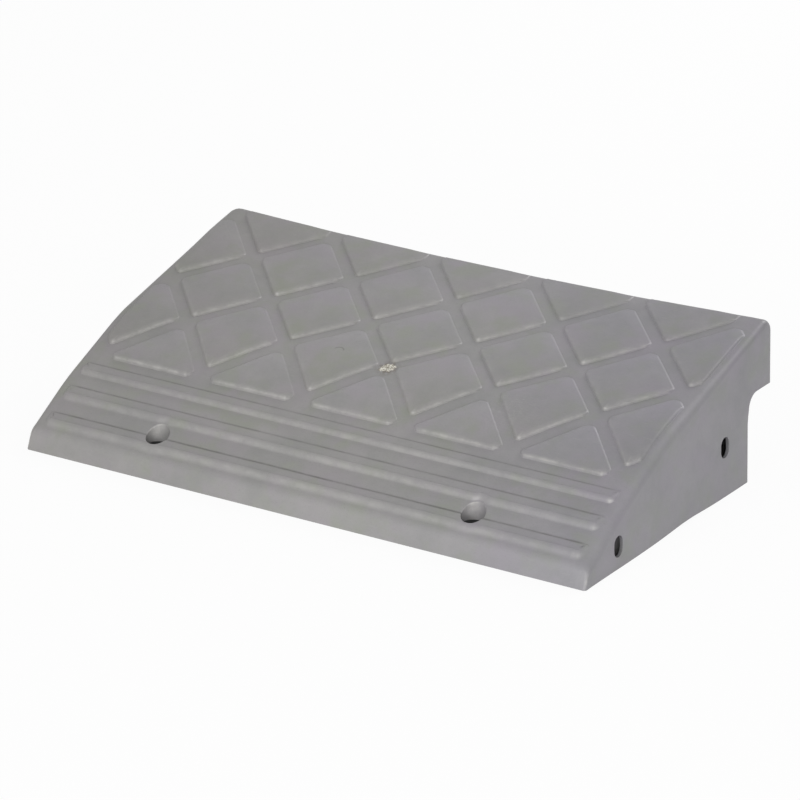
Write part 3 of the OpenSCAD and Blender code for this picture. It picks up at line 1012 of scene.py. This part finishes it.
class Nodes:
    """Short calls for building a material's nodes."""

    def __init__(self, name):
        self.material = bpy.data.materials.new(name)
        self.material.use_nodes = True
        self.tree = self.material.node_tree
        self.tree.nodes.clear()
        self.output = self.add("ShaderNodeOutputMaterial")
        self.shader = self.add("ShaderNodeBsdfPrincipled")
        self.link(self.shader.outputs[0], self.output.inputs[0])
        self.place = self.add("ShaderNodeTexCoord").outputs["Object"]
        axes = self.add("ShaderNodeSeparateXYZ")
        self.link(self.place, axes.inputs[0])
        self.x, self.y = axes.outputs[:2]

    def add(self, kind, **settings):
        node = self.tree.nodes.new(kind)
        for key, value in settings.items():
            setattr(node, key, value)
        return node

    def link(self, a, b):
        self.tree.links.new(a, b)

    def put(self, value, socket):
        """Gives a socket a constant or another node's output."""
        if isinstance(value, (float, int, tuple)):
            socket.default_value = value
        else:
            self.link(value, socket)

    def noise(self, scale, detail, rough, along=None):
        """A noise, stretched and turned where along says how."""
        place = self.place
        if along:
            mapping = self.add("ShaderNodeMapping")
            mapping.inputs["Scale"].default_value = along[0]
            mapping.inputs["Rotation"].default_value = (0, 0, along[1])
            self.link(place, mapping.inputs["Vector"])
            place = mapping.outputs[0]
        node = self.add("ShaderNodeTexNoise")
        node.inputs["Scale"].default_value = scale
        node.inputs["Detail"].default_value = detail
        node.inputs["Roughness"].default_value = rough
        self.link(place, node.inputs["Vector"])
        return node.outputs["Fac"]

    def remap(self, value, low, high, to_low=0.0, to_high=1.0):
        node = self.add("ShaderNodeMapRange")
        node.inputs["From Min"].default_value = low
        node.inputs["From Max"].default_value = high
        node.inputs["To Min"].default_value = to_low
        node.inputs["To Max"].default_value = to_high
        self.link(value, node.inputs["Value"])
        return node.outputs[0]

    def cloud(self, name, along=None):
        scale, detail, rough, *run = CLOUDS[name]
        return self.remap(self.noise(scale, detail, rough, along), *run)

    def spot(self, name):
        x, y, x_scale, y_scale, *run = SPOTS[name]
        return self.remap(self.distance(x, y, x_scale, y_scale), *run)

    def mix(self, factor, a, b, blend="MIX"):
        node = self.add("ShaderNodeMix", data_type="RGBA", blend_type=blend)
        for value, socket in ((factor, node.inputs[0]), (a, node.inputs[6]), (b, node.inputs[7])):
            self.put(value, socket)
        return node.outputs[2]

    def paint(self, colour, share, over):
        """The colour with a share of another over it, given in screen values."""
        return self.mix(share, colour, srgb(over))

    def tint(self, colour, place, tints):
        """The colour times a tint between two, for a place from 0 to 1."""
        first, second = tints
        return self.mix(1.0, colour, self.mix(place, first + (1,), second + (1,)), "MULTIPLY")

    def math(self, operation, a, b=0.0):
        node = self.add("ShaderNodeMath", operation=operation)
        self.put(a, node.inputs[0])
        self.put(b, node.inputs[1])
        return node.outputs[0]

    def times(self, a, b):
        return self.math("MULTIPLY", a, b)

    def minus(self, a, b):
        return self.math("SUBTRACT", a, b)

    def size(self, value):
        return self.math("ABSOLUTE", value)

    def mark(self, name):
        """A named value that the mesh carries, 0 where it has none."""
        return self.add("ShaderNodeAttribute", attribute_name=name).outputs["Fac"]

    def distance(self, x, y, x_scale, y_scale):
        """How far a place is, in plan, from a point given in millimetres."""
        across = self.times(self.minus(self.x, x * MM), x_scale)
        along = self.times(self.minus(self.y, (y - DEPTH / 2) * MM), y_scale)
        total = self.math("ADD", self.math("POWER", across, 2.0), self.math("POWER", along, 2.0))
        return self.math("SQRT", total)

    def bump(self, relief, after=None):
        """A relief from a noise, laid over the one before it."""
        scale, detail, rough, strength, depth = relief
        node = self.add("ShaderNodeBump")
        node.inputs["Strength"].default_value = strength
        node.inputs["Distance"].default_value = depth
        self.link(self.noise(scale, detail, rough), node.inputs["Height"])
        if after:
            self.link(after, node.inputs["Normal"])
        return node.outputs[0]


def crease_shade(m):
    """How much painted shade a place gets: the narrow creases behind the grip ridges are painted
    darker, for the shade that falls into them.
    """
    y = m.math("ADD", m.y, m.cloud("crease sway"))
    inside = m.remap(m.size(m.x), 0.276, 0.286, 1.0, 0.0)
    total = 0.0
    for back, tilt, darkness in zip(RIDGE_BACK, RIDGE_TILT, CREASE_SHADE):
        line = (back + 0.5 * tilt + 0.35 - DEPTH / 2) * MM
        level = m.math("ADD", y, m.times(m.x, tilt / LENGTH))
        away = m.size(m.minus(level, line))
        total = m.math("MAXIMUM", m.remap(away, 0.0008, 0.0019, darkness, 0.0), total)
    return m.times(m.times(total, inside), m.cloud("crease shade"))


def mottled_grey(m):
    """Cloudy and patchy grey, cooler to the right, with a painted sheen that makes pads paler
    towards their rear.
    """
    colour = m.mix(m.cloud("grey"), srgb(GREY[0]), srgb(GREY[1]))
    colour = m.tint(colour, m.cloud("patchy"), PATCHY)
    colour = m.paint(colour, m.cloud("violet"), VIOLET)
    colour = m.paint(colour, m.cloud("olive"), OLIVE)
    colour = m.tint(colour, m.remap(m.x, -0.26, 0.30), LEFT_TO_RIGHT)
    colour = m.tint(colour, m.spot("warm"), WARM)
    return m.tint(colour, m.remap(m.mark("painted_sheen"), -1.0, 1.0), PAINTED_SHEEN)


def painted_light(m):
    """Large soft differences in how pale the plastic is painted, mostly painted light and shade.
    """
    # Painted shade: the deck is painted darker towards its ends, less so on their rounded edges,
    # and paler in its middle as a painted sheen
    ends = m.times(m.spot("ends"), m.remap(m.y, -0.12, -0.03))
    ends = m.times(ends, m.remap(m.size(m.x), 0.289, 0.294, 1.0, 0.4))
    level = m.times(m.spot("middle"), m.minus(1.0, m.times(ends, 0.085)))
    # It is painted paler behind its middle, and paler on the toe as painted light
    level = m.times(level, m.remap(m.y, -0.08, 0.0, 0.985, 1.02))
    level = m.times(level, m.remap(m.y, -0.162, -0.158, 1.04, 1.0))
    level = m.times(level, m.spot("toe"))
    # A paler and a darker spot on the flat behind the second ridge
    level = m.minus(m.math("ADD", level, m.spot("pale")), m.spot("dark"))
    # Painted shade: the end walls are painted darker towards the rear
    wall = m.remap(m.size(m.x), 0.290, 0.2965)
    shaded = m.times(wall, m.remap(m.y, -0.05, 0.15, 0.05, 0.145))
    return m.times(level, m.minus(1.0, shaded))


def scuffed(m, colour):
    """Specks, scuffs, scratches, a small arc, the painted shade in the creases and the dirty ring
    round the gate mark.
    """
    colour = m.paint(colour, m.cloud("specks"), SPECK)
    colour = m.paint(colour, m.cloud("scuffs", SCUFFS_ALONG), SCUFF)
    lines = m.cloud("scratches", SCRATCHES_ALONG)
    colour = m.paint(colour, m.times(m.spot("scratches"), lines), SCRATCH)
    rim = m.size(m.minus(m.distance(*ARC_AT, 1.0, 1.0), ARC_R * MM))
    start, full = [(y - DEPTH / 2) * MM for y in ARC_FROM]
    arc = m.times(m.remap(rim, 0.0002, 0.0011, 0.6, 0.0), m.remap(m.y, start, full))
    colour = m.paint(colour, arc, SMUDGE)
    # Painted shade in the creases behind the ridges
    colour = m.paint(colour, crease_shade(m), CREASE_SHADE_COLOUR)
    return m.paint(colour, m.times(m.spot("halo"), m.cloud("halo")), HALO)


def plastic_material():
    """Grey plastic with a soft sheen: cloudy, with painted shade in its creases and bolt holes
    and painted highlights on its edges, where it is also smoother.
    """
    m = Nodes("grey_plastic")
    colour = m.mix(1.0, mottled_grey(m), painted_light(m), "MULTIPLY")
    colour = scuffed(m, colour)
    # Painted highlights and glints on edges
    highlight_level = m.times(m.mark("painted_highlight"), m.cloud("highlight_level"))
    colour = m.paint(colour, highlight_level, HIGHLIGHT_COLOUR)
    # Painted shade: near black in the sockets' floor rings and bolt holes
    colour = m.paint(colour, m.mark("hole_shade"), HOLE_SHADE_COLOUR)
    m.link(colour, m.shader.inputs["Base Color"])
    rough = m.minus(m.cloud("rough"), m.times(highlight_level, HIGHLIGHT_SMOOTHER))
    m.link(rough, m.shader.inputs["Roughness"])
    m.shader.inputs["Specular IOR Level"].default_value = 0.5
    m.link(m.bump(WAVES, m.bump(GRAIN)), m.shader.inputs["Normal"])
    return m.material


def stub_material():
    """The stub's torn plastic, pale with dirt between its crumbs."""
    m = Nodes("gate_plastic")
    colour = m.mix(m.cloud("stub"), srgb(STUB[0]), srgb(STUB[1]))
    colour = m.paint(colour, m.cloud("stub dirt"), STUB_DIRT)
    m.link(colour, m.shader.inputs["Base Color"])
    m.link(m.cloud("stub rough"), m.shader.inputs["Roughness"])
    m.link(m.bump(STUB_GRAIN), m.shader.inputs["Normal"])
    return m.material


def put_on(obj, material):
    obj.data.materials.clear()
    obj.data.materials.append(material)


# Camera, floor and light

def add_camera():
    data = bpy.data.cameras.new("camera")
    data.sensor_fit = "HORIZONTAL"
    data.sensor_width = SENSOR_MM
    data.lens = FOCAL_PIXELS / FRAME_PIXELS * SENSOR_MM
    data.clip_end = CAMERA_REACH
    camera = bpy.data.objects.new("camera", data)
    camera.location = CAMERA_AT
    camera.rotation_euler = (math.radians(90 - CAMERA_ELEVATION), 0, math.radians(CAMERA_AZIMUTH))
    bpy.context.collection.objects.link(camera)
    bpy.context.scene.camera = camera


def floor_material():
    """A pale floor that the camera sees as white, with the object's shadow on it, and painted
    near black under the ramp as painted shade.
    """
    m = Nodes("floor")
    m.shader.inputs["Roughness"].default_value = 0.9
    m.shader.inputs["Specular IOR Level"].default_value = 0.0
    glow = m.add("ShaderNodeEmission")
    glow.inputs["Strength"].default_value = 1.0
    path = m.add("ShaderNodeLightPath")
    seen = m.math("MAXIMUM", path.outputs["Is Camera Ray"], path.outputs["Is Glossy Ray"])
    beside = m.math("GREATER_THAN", m.size(m.x), FOOTPRINT[0])
    before = m.math("GREATER_THAN", m.size(m.minus(m.y, FOOTPRINT_Y)), FOOTPRINT[1])
    open_floor = m.math("MAXIMUM", beside, before)
    # Painted shade: near black under the ramp, without glow
    colour = m.mix(open_floor, (FOOTPRINT_SHADE,) * 3 + (1,), (FLOOR_GREY,) * 3 + (1,))
    m.link(colour, m.shader.inputs["Base Color"])
    share = m.times(m.times(seen, open_floor), FLOOR_GLOW)
    blend = m.add("ShaderNodeMixShader")
    m.link(share, blend.inputs[0])
    m.link(m.shader.outputs[0], blend.inputs[1])
    m.link(glow.outputs[0], blend.inputs[2])
    m.link(blend.outputs[0], m.output.inputs[0])
    return m.material


def add_floor():
    mesh = bpy.data.meshes.new("floor")
    corners = [(x * FLOOR_HALF, y * FLOOR_HALF, FLOOR_Z)
               for x, y in ((-1, -1), (1, -1), (1, 1), (-1, 1))]
    mesh.from_pydata(corners, [], [(0, 1, 2, 3)])
    floor = bpy.data.objects.new("floor", mesh)
    bpy.context.collection.objects.link(floor)
    put_on(floor, floor_material())


def add_world():
    """An even light, which the camera sees as white."""
    world = bpy.data.worlds.new("studio")
    bpy.context.scene.world = world
    world.use_nodes = True
    tree = world.node_tree
    tree.nodes.clear()
    output = tree.nodes.new("ShaderNodeOutputWorld")
    path = tree.nodes.new("ShaderNodeLightPath")
    blend = tree.nodes.new("ShaderNodeMixShader")
    tree.links.new(path.outputs["Is Camera Ray"], blend.inputs[0])
    for i, strength in enumerate((WORLD_LIGHT, 1.0), start=1):
        light = tree.nodes.new("ShaderNodeBackground")
        light.inputs["Color"].default_value = (1, 1, 1, 1)
        light.inputs["Strength"].default_value = strength
        tree.links.new(light.outputs[0], blend.inputs[i])
    tree.links.new(blend.outputs[0], output.inputs[0])


def add_lamp(name, at, power):
    """A square lamp that points at the middle of the ramp's foot."""
    data = bpy.data.lights.new(name, "AREA")
    data.shape = "SQUARE"
    data.size = LAMP_SIZE
    data.energy = power
    lamp = bpy.data.objects.new(name, data)
    lamp.location = at
    lamp.rotation_euler = (-Vector(at)).to_track_quat("-Z", "Y").to_euler()
    bpy.context.collection.objects.link(lamp)


# Making it all

add_camera()
add_floor()
add_world()
for name, (at, power) in LAMPS.items():
    add_lamp(name, at, power)

shell = build_shell()
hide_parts("deck", "toe", "back_wall", "lip_walls", "end_wall_left", "end_wall_right")
pieces = [shell]
pieces += [build_pad(row, column) for row in range(1, PAD_ROWS + 1)
           for column in range(1, pads_in(row) + 1)]
pieces += [build_ridge(i) for i in range(len(RIDGE_BACK))]
pieces += [build_socket(side) for side in (-1, 1)]
pieces += [sunk_copy(node) for node in sorted(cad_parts)
           if node.startswith(("long_rib_", "cross_rib_", "lip_web_"))]
stub = build_gate_mark()

plastic = plastic_material()
for piece in pieces:
    put_on(piece, plastic)
    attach(piece, "root")
put_on(stub, stub_material())
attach(stub, "root")

scene = bpy.context.scene
scene.view_settings.view_transform = "Standard"
